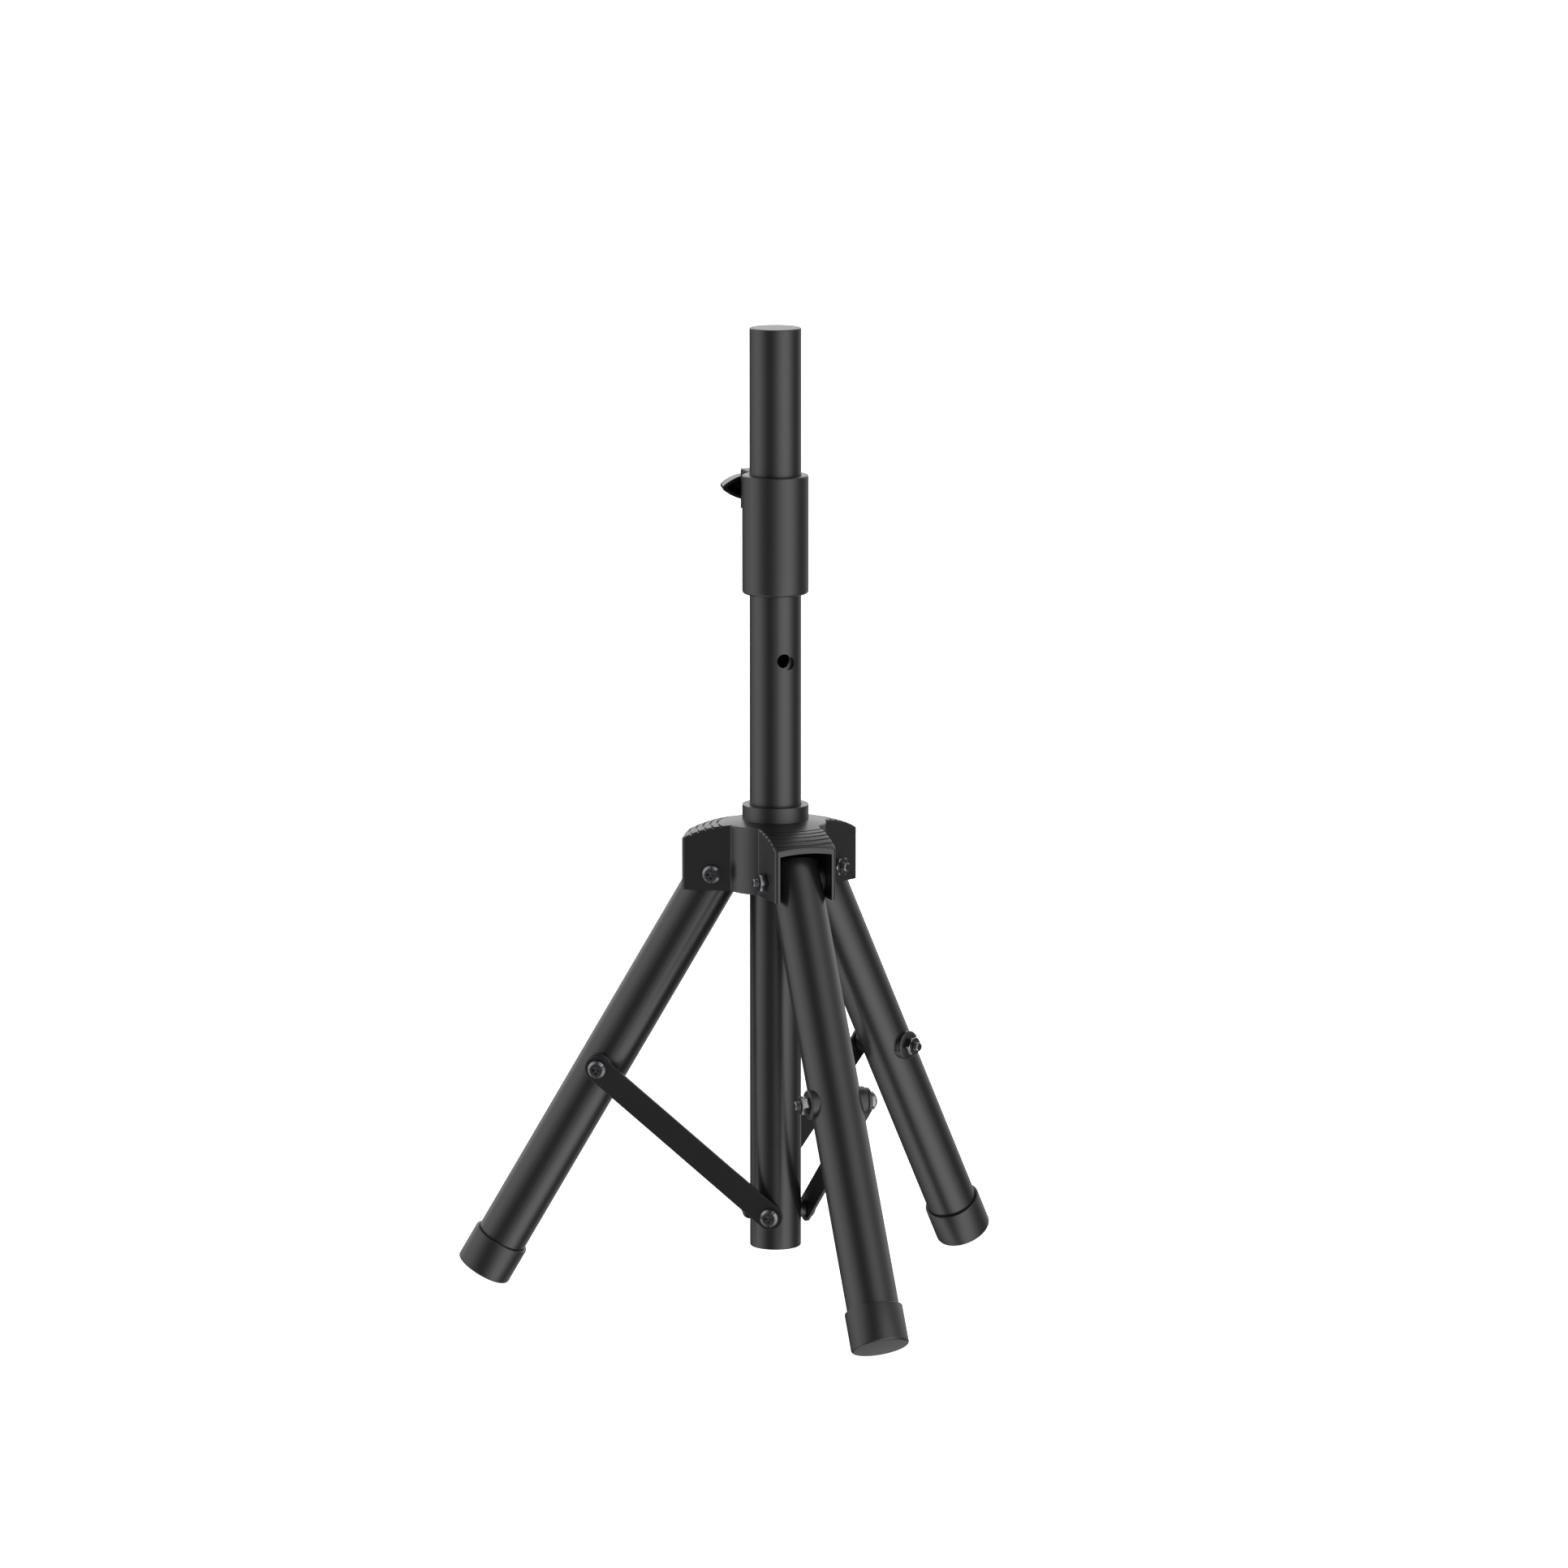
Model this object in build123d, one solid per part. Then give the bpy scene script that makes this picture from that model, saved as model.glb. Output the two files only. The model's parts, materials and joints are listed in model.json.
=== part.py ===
from build123d import *
import math
import os

# Speaker tripod stand: a telescoping 35 mm pole on three folding legs.
# +Z is up. The origin is on the pole's axis, on the floor. Millimetres.
# Leg 1 points along -Y, leg 2 towards +X and +Y, leg 3 towards -X and +Y.

# ---- Tubes ----
TUBE_OD = 35.0
TUBE_WALL = 1.5
STAND_HEIGHT = 667.0
CENTRE_TUBE_BELOW_SCREWS = 23.96   # from the strut screws down to the tube's end
TUBE_END_RADIUS = 0.9

# ---- Legs and struts, standing open ----
LEG_AZIMUTHS = (270.0, 30.0, 150.0)
LEG_ANGLE = 30.0             # from the vertical, open
FOLDED_LEG_ANGLE = 2.0       # from the vertical, folded
LEG_STANDOFF = 5.0           # between a leg's pivot and the centre tube, past both radii
LEG_REACH = 330.6            # from the leg's pivot to the foot's sole
LEG_TOP = 10.0               # tube above the leg's pivot
STRUT_JOINT_SHARE = 0.48155  # of the leg's reach, from its pivot to the strut's joint
STRUT_SHARE = 0.47005        # of the leg's reach, between the strut's two joints
STRUT_WIDTH = 17.8
STRUT_THICKNESS = 2.5

# ---- Feet ----
FOOT_WALL = 2.0
FOOT_LENGTH = 26.6
FOOT_SOLE = 4.0
FOOT_EDGE_RADIUS = 1.5

# ---- Hub ----
HUB_ARM_COVER = 3.5          # arm beyond the leg, past its radius
HUB_WALL = 3.2
HUB_ROOF = 4.0
HUB_WEB_SPACE = 17.0         # from the centre tube to the web's outside
HUB_WEB_WALL = 3.5
HUB_CORNER_RADIUS = 2.3
HUB_INNER_CORNER_RADIUS = 1.2
HUB_ROOF_EDGE_RADIUS = 1.3
HUB_BELOW_PIVOT = 11.4
HUB_CREST_ABOVE_PIVOT = 32.9
HUB_ROOF_SLOPE = 0.17
HUB_ROOF_ARC = 70.0
HUB_GROOVE_INSET = 0.4       # the innermost groove, inside the crest
HUB_GROOVE_PITCH = 4.7
HUB_GROOVE_COUNT = 5
HUB_GROOVE_WIDTH = 1.4
HUB_GROOVE_DEPTH = 1.0
RING_WALL = 4.8
RING_HEIGHT = 10.1
BUSHING_WALL = 2.7
BUSHING_DEPTH = 19.0

# ---- Clamp collar and the two clamp knobs ----
COLLAR_WALL = 5.0
COLLAR_HEIGHT = 80.8
COLLAR_BELOW_TOP = 99.7      # from the pole's top down to the collar's top
SPIGOT_IN_COLLAR = 36.0
SPIGOT_RELIEF = 0.25         # taken off the spigot's radius inside the collar
COLLAR_TOP_RADIUS = 1.0
COLLAR_BOTTOM_RADIUS = 2.2
BOSS_WIDTH = 22.0
BOSS_HEIGHT = 27.0
BOSS_LENGTH = 18.5           # from the collar's outside
BOSS_RADIUS = 2.0
BOSS_ROOT_RADIUS = 3.0
HUB_BOSS_LENGTH = 13.0       # from the web's outside, past the pivot bolts
HUB_BOSS_HEIGHT = 22.0
HUB_LOCK_ABOVE_PIVOT = 14.0
KNOB_LENGTH = 46.3
KNOB_HEIGHT = 18.4
KNOB_DEPTH = 18.0
KNOB_TAPER = 0.81
KNOB_WALL = 2.0
KNOB_TIP_RADIUS = 1.2
KNOB_STEM_RADIUS = 7.0
KNOB_STANDOFF = 1.6
CLAMP_SCREW_RADIUS = 4.0
INSERT_RADIUS = 6.5
INSERT_LENGTH = 12.0
PAD_RADIUS = 5.0
PAD_THICKNESS = 3.0

# ---- Inner pole ----
INNER_POLE_ABOVE_SCREWS = 26.0
TOP_CAP_THICKNESS = 4.0
TOP_CAP_EDGE_RADIUS = 0.7
PLUG_LENGTH = 14.0
PLUG_WALL = 2.5

# ---- Safety-pin holes ----
PIN_HOLE_RADIUS = 4.8
PIN_HOLE_BELOW_COLLAR = 44.1
PIN_HOLE_STEP = 85.0
SECOND_HOLE_RADIUS = 4.5
SECOND_HOLE_TURN = 12.2
SECOND_HOLE_DROP = 1.7

# ---- Fasteners ----
BOLT_RADIUS = 3.0
BOLT_TIP = 4.0               # thread standing out of the nut
HEAD_RADIUS = 6.1
HEAD_HEIGHT = 4.3
HEAD_EDGE_RADIUS = 1.6
CROSS_LENGTH = 6.8
CROSS_WIDTH = 1.3
CROSS_DEPTH = 2.2
NUT_ACROSS_FLATS = 10.0
NUT_HEIGHT = 5.0
SADDLE_RADIUS = 10.0
SADDLE_THICKNESS = 3.0
PIVOT_SADDLE_THICKNESS = 0.7
SPACER_RADIUS = 6.0
RIVET_NUT_RADIUS = 4.5
RIVET_NUT_DEPTH = 8.0

# ---- Fits ----
SLIDE_GAP = 0.3              # between pieces that slide on each other
PIVOT_FIT = 0.05             # between a bolt and the hole that turns on it
SCREW_GAP = 0.4              # around a clamp screw in its insert and boss

# ---- Worked out from the values above ----
TUBE_RADIUS = TUBE_OD / 2
TUBE_BORE = TUBE_RADIUS - TUBE_WALL
POLE_RADIUS = TUBE_BORE - SLIDE_GAP
POLE_BORE = POLE_RADIUS - TUBE_WALL
OPEN = math.radians(LEG_ANGLE)
FOLDED = math.radians(FOLDED_LEG_ANGLE)
FOOT_OD = TUBE_OD + 2 * FOOT_WALL
LEG_PIVOT_RADIUS = TUBE_OD + LEG_STANDOFF
STRUT_JOINT_REACH = LEG_REACH * STRUT_JOINT_SHARE
STRUT_LENGTH = LEG_REACH * STRUT_SHARE
PIVOT_HEIGHT = LEG_REACH * math.cos(OPEN) + FOOT_OD / 2 * math.sin(OPEN)
JOINT_RADIUS = LEG_PIVOT_RADIUS + STRUT_JOINT_REACH * math.sin(OPEN)
JOINT_HEIGHT = PIVOT_HEIGHT - STRUT_JOINT_REACH * math.cos(OPEN)
STRUT_PIVOT_HEIGHT = JOINT_HEIGHT - math.sqrt(STRUT_LENGTH ** 2 - JOINT_RADIUS ** 2)
CENTRE_TUBE_BOTTOM = STRUT_PIVOT_HEIGHT - CENTRE_TUBE_BELOW_SCREWS
INNER_POLE_BOTTOM = STRUT_PIVOT_HEIGHT + INNER_POLE_ABOVE_SCREWS
COLLAR_OD = TUBE_OD + 2 * COLLAR_WALL
COLLAR_TOP = STAND_HEIGHT - COLLAR_BELOW_TOP
COLLAR_BOTTOM = COLLAR_TOP - COLLAR_HEIGHT
CENTRE_TUBE_TOP = COLLAR_TOP - SPIGOT_IN_COLLAR
CLAMP_HEIGHT = COLLAR_TOP - BOSS_HEIGHT / 2
BOSS_REACH = COLLAR_OD / 2 + BOSS_LENGTH
PIN_HOLE_HEIGHT = COLLAR_BOTTOM - PIN_HOLE_BELOW_COLLAR
PIN_HOLE_SPAN = PIN_HOLE_HEIGHT - INNER_POLE_BOTTOM - PLUG_LENGTH
PIN_HOLE_COUNT = math.floor(PIN_HOLE_SPAN / PIN_HOLE_STEP) + 1
HUB_ARM_LENGTH = LEG_PIVOT_RADIUS + TUBE_RADIUS + HUB_ARM_COVER
HUB_WEB_RADIUS = TUBE_RADIUS + HUB_WEB_SPACE
HUB_BOSS_REACH = HUB_WEB_RADIUS + HUB_BOSS_LENGTH
HUB_CREST_RADIUS = LEG_PIVOT_RADIUS   # where the roof's straight cone turns into its arc
HUB_GROOVE_RADIUS = HUB_CREST_RADIUS - HUB_GROOVE_INSET
HUB_BOTTOM = PIVOT_HEIGHT - HUB_BELOW_PIVOT
HUB_CREST = PIVOT_HEIGHT + HUB_CREST_ABOVE_PIVOT
HUB_LOCK_HEIGHT = PIVOT_HEIGHT + HUB_LOCK_ABOVE_PIVOT
CHANNEL_HALF = TUBE_RADIUS + PIVOT_SADDLE_THICKNESS + SLIDE_GAP
ARM_HALF = CHANNEL_HALF + HUB_WALL
STRUT_INNER = TUBE_RADIUS + SADDLE_THICKNESS + SLIDE_GAP
STRUT_OUTER = STRUT_INNER + STRUT_THICKNESS
BUSHING_BORE = TUBE_RADIUS + SLIDE_GAP
BUSHING_RADIUS = BUSHING_BORE + BUSHING_WALL
RING_OD = 2 * (BUSHING_BORE + RING_WALL)
RING_BOTTOM = HUB_CREST + HUB_ROOF_SLOPE * (HUB_CREST_RADIUS - RING_OD / 2)


def tube(outer, inner, bottom, top):
    """An upright tube on the pole's axis."""
    height = top - bottom
    base = Pos(0, 0, bottom)
    align = (Align.CENTER, Align.CENTER, Align.MIN)
    solid = base * Cylinder(outer, height, align=align)
    if inner > 0:
        solid = solid - Pos(0, 0, bottom - 1) * Cylinder(inner, height + 2, align=align)
    return solid


def rod(radius, start, end, plane):
    """A cylinder along a plane's normal, between two distances from its origin."""
    return extrude(plane.offset(start) * Circle(radius), end - start)


def outer_rim(solid, z, radius):
    """The circular edges of a solid at one height and radius."""
    found = [e for e in solid.edges().filter_by(GeomType.CIRCLE)
             if abs(e.radius - radius) < 0.01 and abs(e.center().Z - z) < 0.01]
    return found


def side_plane(azimuth, along, height):
    """A plane square to a leg's hinge line, at a point in the leg's own plane.

    Its x axis points out along the leg's azimuth, its y axis down and its
    normal along the hinge line, towards the strut's side of the leg.
    """
    a = math.radians(azimuth)
    out = Vector(math.cos(a), math.sin(a), 0)
    hinge = Vector(-math.sin(a), math.cos(a), 0)
    return Plane(origin=out * along + Vector(0, 0, height), x_dir=out, z_dir=hinge)


def back_plane(height):
    """A plane facing +Y on the pole's axis, at a height."""
    return Plane(origin=(0, 0, height), x_dir=(1, 0, 0), z_dir=(0, 1, 0))


def pan_head(plane, seat):
    """A pan head with a cross recess, standing on its seat along the normal."""
    head = rod(HEAD_RADIUS, seat, seat + HEAD_HEIGHT, plane)
    rim = head.edges().group_by(SortBy.LENGTH)[-1]
    far = plane.offset(seat + HEAD_HEIGHT)
    top = [e for e in rim if abs(far.to_local_coords(e.center()).Z) < 0.01]
    head = fillet(top, HEAD_EDGE_RADIUS)
    cross = Rectangle(CROSS_LENGTH, CROSS_WIDTH) + Rectangle(CROSS_WIDTH, CROSS_LENGTH)
    return head - extrude(far * cross, -CROSS_DEPTH)


def bolt(plane, seat, end):
    """A pan-head bolt whose shank runs from its seat back to its end."""
    return pan_head(plane, seat) + rod(BOLT_RADIUS, end, seat, plane)


def hex_nut(plane, seat):
    """A hexagon nut on a seat that faces against the plane's normal."""
    face = plane.offset(seat - NUT_HEIGHT)
    outline = RegularPolygon(NUT_ACROSS_FLATS / 2, 6, major_radius=False)
    block = extrude(face * outline, NUT_HEIGHT)
    crown = rod(NUT_ACROSS_FLATS / 2 * 1.1, seat - NUT_HEIGHT, seat, plane)
    rims = [e for e in crown.edges().filter_by(GeomType.CIRCLE)
            if abs(face.to_local_coords(e.center()).Z) < 0.01]
    crown = chamfer(rims, 0.6)
    return (block & crown) - rod(BOLT_RADIUS, seat - NUT_HEIGHT - 1, seat + 1, plane)


def lens(length, height, tip_radius):
    """A pointed oval made of two arcs, with its tips rounded."""
    half = length / 2
    upper = ThreePointArc((-half, 0), (0, height / 2), (half, 0))
    lower = ThreePointArc((half, 0), (0, -height / 2), (-half, 0))
    face = make_face(upper + lower)
    return fillet(face.vertices(), tip_radius)


# ---- Centre column ----

def centre_tube():
    solid = tube(TUBE_RADIUS, TUBE_BORE, CENTRE_TUBE_BOTTOM, CENTRE_TUBE_TOP)
    solid = fillet(outer_rim(solid, CENTRE_TUBE_BOTTOM, TUBE_RADIUS), TUBE_END_RADIUS)
    solid -= rod(PIN_HOLE_RADIUS, -TUBE_OD, TUBE_OD, back_plane(PIN_HOLE_HEIGHT))
    turned = Rot(0, 0, SECOND_HOLE_TURN)
    front = Plane(origin=(0, 0, PIN_HOLE_HEIGHT - SECOND_HOLE_DROP), z_dir=(0, -1, 0))
    solid -= turned * rod(SECOND_HOLE_RADIUS, 0, TUBE_OD, front)
    for azimuth in LEG_AZIMUTHS:
        plane = side_plane(azimuth, 0, STRUT_PIVOT_HEIGHT)
        solid -= rod(RIVET_NUT_RADIUS, 0, TUBE_OD, plane)
    return solid


def column_bottom_plug():
    solid = tube(TUBE_BORE, TUBE_BORE - PLUG_WALL, CENTRE_TUBE_BOTTOM, CENTRE_TUBE_BOTTOM + PLUG_LENGTH)
    return solid + tube(TUBE_BORE, 0, CENTRE_TUBE_BOTTOM, CENTRE_TUBE_BOTTOM + PLUG_WALL)


def clamp_collar():
    solid = tube(COLLAR_OD / 2, 0, COLLAR_BOTTOM, COLLAR_TOP)
    boss = Pos(0, BOSS_REACH / 2, CLAMP_HEIGHT) * Box(BOSS_WIDTH, BOSS_REACH, BOSS_HEIGHT)
    far = boss.faces().sort_by(Axis.Y)[-1]
    boss = fillet(far.edges().filter_by(Axis.Z), BOSS_RADIUS)
    solid += boss
    root = math.sqrt((COLLAR_OD / 2) ** 2 - (BOSS_WIDTH / 2) ** 2)
    roots = [e for e in solid.edges().filter_by(Axis.Z) if abs(e.center().Y - root) < 0.01]
    solid = fillet(roots, BOSS_ROOT_RADIUS)
    solid = fillet(outer_rim(solid, COLLAR_BOTTOM, COLLAR_OD / 2), COLLAR_BOTTOM_RADIUS)
    top_rim = [e for e in solid.edges() if abs(e.center().Z - COLLAR_TOP) < 0.01]
    solid = fillet(top_rim, COLLAR_TOP_RADIUS)
    solid -= tube(TUBE_RADIUS, 0, COLLAR_BOTTOM - 1, CENTRE_TUBE_TOP)
    solid -= tube(TUBE_RADIUS + SLIDE_GAP, 0, CENTRE_TUBE_TOP - 1, COLLAR_TOP + 1)
    plane = back_plane(CLAMP_HEIGHT)
    solid -= rod(PAD_RADIUS + SLIDE_GAP, 0, BOSS_REACH + 1, plane)
    solid -= rod(INSERT_RADIUS, BOSS_REACH - INSERT_LENGTH, BOSS_REACH + 1, plane)
    return solid


def threaded_insert(height, face):
    plane = back_plane(height)
    solid = rod(INSERT_RADIUS, face - INSERT_LENGTH, face, plane)
    return solid - rod(CLAMP_SCREW_RADIUS + SCREW_GAP, face - INSERT_LENGTH - 1, face + 1, plane)


def strut_spacers():
    group = []
    for azimuth in LEG_AZIMUTHS:
        plane = side_plane(azimuth, 0, STRUT_PIVOT_HEIGHT)
        spacer = rod(SPACER_RADIUS, 0, TUBE_RADIUS + SADDLE_THICKNESS, plane)
        spacer -= tube(TUBE_RADIUS, 0, CENTRE_TUBE_BOTTOM, CENTRE_TUBE_TOP)
        spacer -= rod(BOLT_RADIUS, 0, TUBE_OD, plane)
        group.append(spacer)
    return Compound(group)


def rivet_nuts():
    group = []
    for azimuth in LEG_AZIMUTHS:
        plane = side_plane(azimuth, 0, STRUT_PIVOT_HEIGHT)
        nut = rod(RIVET_NUT_RADIUS, TUBE_RADIUS - RIVET_NUT_DEPTH, TUBE_OD, plane)
        nut &= tube(TUBE_RADIUS, 0, CENTRE_TUBE_BOTTOM, CENTRE_TUBE_TOP)
        nut -= rod(BOLT_RADIUS, 0, TUBE_OD, plane)
        group.append(nut)
    return Compound(group)


# ---- Telescoping pole ----

def inner_pole():
    solid = tube(POLE_RADIUS, POLE_BORE, INNER_POLE_BOTTOM, STAND_HEIGHT - TOP_CAP_THICKNESS)
    for step in range(PIN_HOLE_COUNT):
        height = PIN_HOLE_HEIGHT - step * PIN_HOLE_STEP
        solid -= rod(PIN_HOLE_RADIUS, -TUBE_OD, TUBE_OD, back_plane(height))
    return solid


def speaker_spigot():
    """The pole's full-size end. The stretch that runs in the collar is a little thinner."""
    bottom = CENTRE_TUBE_TOP + SLIDE_GAP
    relieved = tube(TUBE_RADIUS - SPIGOT_RELIEF, POLE_RADIUS, bottom, COLLAR_TOP)
    return relieved + tube(TUBE_RADIUS, POLE_RADIUS, COLLAR_TOP, STAND_HEIGHT - TOP_CAP_THICKNESS)


def pole_top_cap():
    solid = tube(TUBE_RADIUS, 0, STAND_HEIGHT - TOP_CAP_THICKNESS, STAND_HEIGHT)
    solid = fillet(outer_rim(solid, STAND_HEIGHT, TUBE_RADIUS), TOP_CAP_EDGE_RADIUS)
    plug_bottom = STAND_HEIGHT - TOP_CAP_THICKNESS - PLUG_LENGTH
    return solid + tube(POLE_BORE, POLE_BORE - PLUG_WALL, plug_bottom, STAND_HEIGHT - 1)


def pole_end_plug():
    top = INNER_POLE_BOTTOM + PLUG_LENGTH
    solid = tube(POLE_BORE, POLE_BORE - PLUG_WALL, INNER_POLE_BOTTOM, top)
    return solid + tube(POLE_RADIUS, POLE_BORE - PLUG_WALL, INNER_POLE_BOTTOM - PLUG_WALL, INNER_POLE_BOTTOM)


# ---- Clamp knobs ----

def clamp_pad(height):
    plane = back_plane(height)
    pad = rod(PAD_RADIUS, 0, TUBE_RADIUS + SLIDE_GAP + PAD_THICKNESS, plane)
    return pad - tube(TUBE_RADIUS + SLIDE_GAP, 0, height - TUBE_OD, height + TUBE_OD)


def knob(height, face):
    plane = back_plane(height)
    near = plane.offset(face + KNOB_STANDOFF)
    far = plane.offset(face + KNOB_STANDOFF + KNOB_DEPTH)
    floor = plane.offset(face + KNOB_STANDOFF + KNOB_DEPTH - KNOB_WALL)
    outline = lens(KNOB_LENGTH, KNOB_HEIGHT, KNOB_TIP_RADIUS)
    small = lens(KNOB_LENGTH * KNOB_TAPER, KNOB_HEIGHT * KNOB_TAPER, KNOB_TIP_RADIUS)
    solid = loft([near * outline, far * small])
    rim = solid.faces().sort_by(Axis.Y)[-1]
    solid = fillet(rim.edges(), KNOB_TIP_RADIUS)
    hollow = lens(KNOB_LENGTH - 3 * KNOB_WALL, KNOB_HEIGHT - 2 * KNOB_WALL, KNOB_TIP_RADIUS)
    inner_length = KNOB_LENGTH * KNOB_TAPER - 3 * KNOB_WALL
    inner_height = KNOB_HEIGHT * KNOB_TAPER - 2 * KNOB_WALL
    hollow_floor = lens(inner_length, inner_height, KNOB_TIP_RADIUS)
    solid -= loft([near * hollow, floor * hollow_floor])
    stem_end = face + KNOB_STANDOFF + KNOB_DEPTH - KNOB_WALL
    stem = rod(KNOB_STEM_RADIUS, face + KNOB_STANDOFF, stem_end + KNOB_WALL / 2, plane)
    solid += stem
    return solid - rod(CLAMP_SCREW_RADIUS, face, stem_end, plane)


def knob_screw(height, face):
    start = TUBE_RADIUS + SLIDE_GAP + PAD_THICKNESS + SLIDE_GAP
    end = face + KNOB_STANDOFF + KNOB_DEPTH - KNOB_WALL
    return rod(CLAMP_SCREW_RADIUS, start, end, back_plane(height))


# ---- Hub ----

def hub_profile(drop):
    """The half outline under the hub's roof, lowered by drop, turned about the axis."""
    inner = (0, HUB_CREST + HUB_ROOF_SLOPE * HUB_CREST_RADIUS - drop)
    crest = (HUB_CREST_RADIUS, HUB_CREST - drop)
    start_sine = math.sin(math.atan(HUB_ROOF_SLOPE))
    reach = HUB_ARM_LENGTH + HUB_WALL * 2
    end_sine = start_sine + (reach - HUB_CREST_RADIUS) / HUB_ROOF_ARC
    fall = math.sqrt(1 - start_sine ** 2) - math.sqrt(1 - end_sine ** 2)
    end = (reach, HUB_CREST - drop - fall * HUB_ROOF_ARC)
    cone = Line(inner, crest)
    arc = TangentArc(crest, end, tangent=cone % 1)
    base = Polyline(end, (reach, HUB_BOTTOM), (0, HUB_BOTTOM), inner)
    face = make_face(Plane.XZ * (cone + arc + base))
    return revolve(face, Axis.Z)


def arm_plan(half_width, length):
    plan = Sketch()
    for azimuth in LEG_AZIMUTHS:
        plan += Rot(0, 0, azimuth) * Pos(length / 2, 0) * Rectangle(length, 2 * half_width)
    return plan


def roof_edges(solid):
    """The edges all round the hub's roof, without the circle inside it."""
    found = []
    for edge in solid.edges():
        upright = edge.geom_type == GeomType.LINE and abs(edge.tangent_at(0.5).Z) > 0.99
        inside = edge.geom_type == GeomType.CIRCLE and abs(edge.radius - HUB_CREST_RADIUS) < 0.01
        if edge.center().Z > PIVOT_HEIGHT and not upright and not inside:
            found.append(edge)
    return found


def hub_housing():
    plan = arm_plan(ARM_HALF, HUB_ARM_LENGTH)
    corners = [v for v in plan.vertices() if v.center().length > HUB_ARM_LENGTH]
    plan = fillet(corners, HUB_CORNER_RADIUS)
    plan += Circle(HUB_WEB_RADIUS)
    insides = [v for v in plan.vertices() if abs(v.center().length - HUB_WEB_RADIUS) < 0.01]
    plan = fillet(insides, HUB_INNER_CORNER_RADIUS)
    height = HUB_CREST + TUBE_OD - HUB_BOTTOM
    solid = extrude(Pos(0, 0, HUB_BOTTOM) * plan, height)
    plane = back_plane(HUB_LOCK_HEIGHT)
    boss = extrude(plane * RectangleRounded(BOSS_WIDTH, HUB_BOSS_HEIGHT, BOSS_RADIUS), HUB_BOSS_REACH)
    solid = fillet(roof_edges(solid & hub_profile(0)), HUB_ROOF_EDGE_RADIUS) + boss
    roof = hub_profile(HUB_ROOF)
    hollow = extrude(Pos(0, 0, HUB_BOTTOM - 1) * arm_plan(CHANNEL_HALF, HUB_ARM_LENGTH + 1), height)
    pockets = Circle(HUB_WEB_RADIUS - HUB_WEB_WALL) - arm_plan(ARM_HALF, HUB_ARM_LENGTH)
    pockets = extrude(Pos(0, 0, HUB_BOTTOM - 1) * pockets, height)
    back_block = Pos(0, HUB_WEB_RADIUS, HUB_BOTTOM) * Box(TUBE_OD, HUB_WEB_RADIUS, 4 * HUB_WEB_RADIUS)
    lower = Pos(0, 0, -1) * roof
    solid -= hollow & (roof + lower)
    solid -= (pockets - back_block) & (roof + lower)
    solid -= tube(BUSHING_RADIUS, 0, HUB_BOTTOM, HUB_CREST + TUBE_OD)
    for number in range(HUB_GROOVE_COUNT):
        solid -= roof_groove(HUB_GROOVE_RADIUS + number * HUB_GROOVE_PITCH)
    for azimuth in LEG_AZIMUTHS:
        pivot = side_plane(azimuth, LEG_PIVOT_RADIUS, PIVOT_HEIGHT)
        solid -= rod(BOLT_RADIUS, -TUBE_OD, TUBE_OD, pivot)
    solid -= rod(PAD_RADIUS + SLIDE_GAP, 0, HUB_BOSS_REACH + 1, plane)
    solid -= rod(INSERT_RADIUS, HUB_BOSS_REACH - INSERT_LENGTH, HUB_BOSS_REACH + 1, plane)
    return solid


def roof_height(radius):
    """The roof's height above the floor at a distance from the axis."""
    if radius <= HUB_CREST_RADIUS:
        return HUB_CREST + HUB_ROOF_SLOPE * (HUB_CREST_RADIUS - radius)
    start_sine = math.sin(math.atan(HUB_ROOF_SLOPE))
    sine = start_sine + (radius - HUB_CREST_RADIUS) / HUB_ROOF_ARC
    return HUB_CREST - HUB_ROOF_ARC * (math.sqrt(1 - start_sine ** 2) - math.sqrt(1 - sine ** 2))


def roof_groove(radius):
    """A round groove across the arms, one depth below the roof."""
    bottom = roof_height(radius) - HUB_GROOVE_DEPTH
    half = HUB_GROOVE_WIDTH / 2
    return tube(radius + half, radius - half, bottom, bottom + HUB_ROOF)


def hub_bushing():
    bottom = RING_BOTTOM - BUSHING_DEPTH
    solid = tube(BUSHING_RADIUS, BUSHING_BORE, bottom, RING_BOTTOM + RING_HEIGHT)
    flange = tube(RING_OD / 2, BUSHING_BORE, HUB_CREST - HUB_ROOF, RING_BOTTOM + RING_HEIGHT)
    flange -= hub_profile(0)
    lock_hole = rod(PAD_RADIUS + SLIDE_GAP, 0, TUBE_OD, back_plane(HUB_LOCK_HEIGHT))
    return solid + flange - lock_hole


def leg_pivot_bolts():
    group = []
    for azimuth in LEG_AZIMUTHS:
        plane = side_plane(azimuth, LEG_PIVOT_RADIUS, PIVOT_HEIGHT)
        group.append(bolt(plane, ARM_HALF, -ARM_HALF - NUT_HEIGHT - BOLT_TIP))
    return Compound(group)


def leg_pivot_nuts():
    group = []
    for azimuth in LEG_AZIMUTHS:
        plane = side_plane(azimuth, LEG_PIVOT_RADIUS, PIVOT_HEIGHT)
        group.append(hex_nut(plane, -ARM_HALF))
    return Compound(group)


# ---- Legs ----

def leg_plane(azimuth):
    """A plane square to an open leg at its pivot, facing down the leg."""
    a = math.radians(azimuth)
    down = Vector(math.cos(a) * math.sin(OPEN), math.sin(a) * math.sin(OPEN), -math.cos(OPEN))
    hinge = Vector(-math.sin(a), math.cos(a), 0)
    pivot = Vector(math.cos(a) * LEG_PIVOT_RADIUS, math.sin(a) * LEG_PIVOT_RADIUS, PIVOT_HEIGHT)
    return Plane(origin=pivot, x_dir=hinge, z_dir=down)


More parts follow.
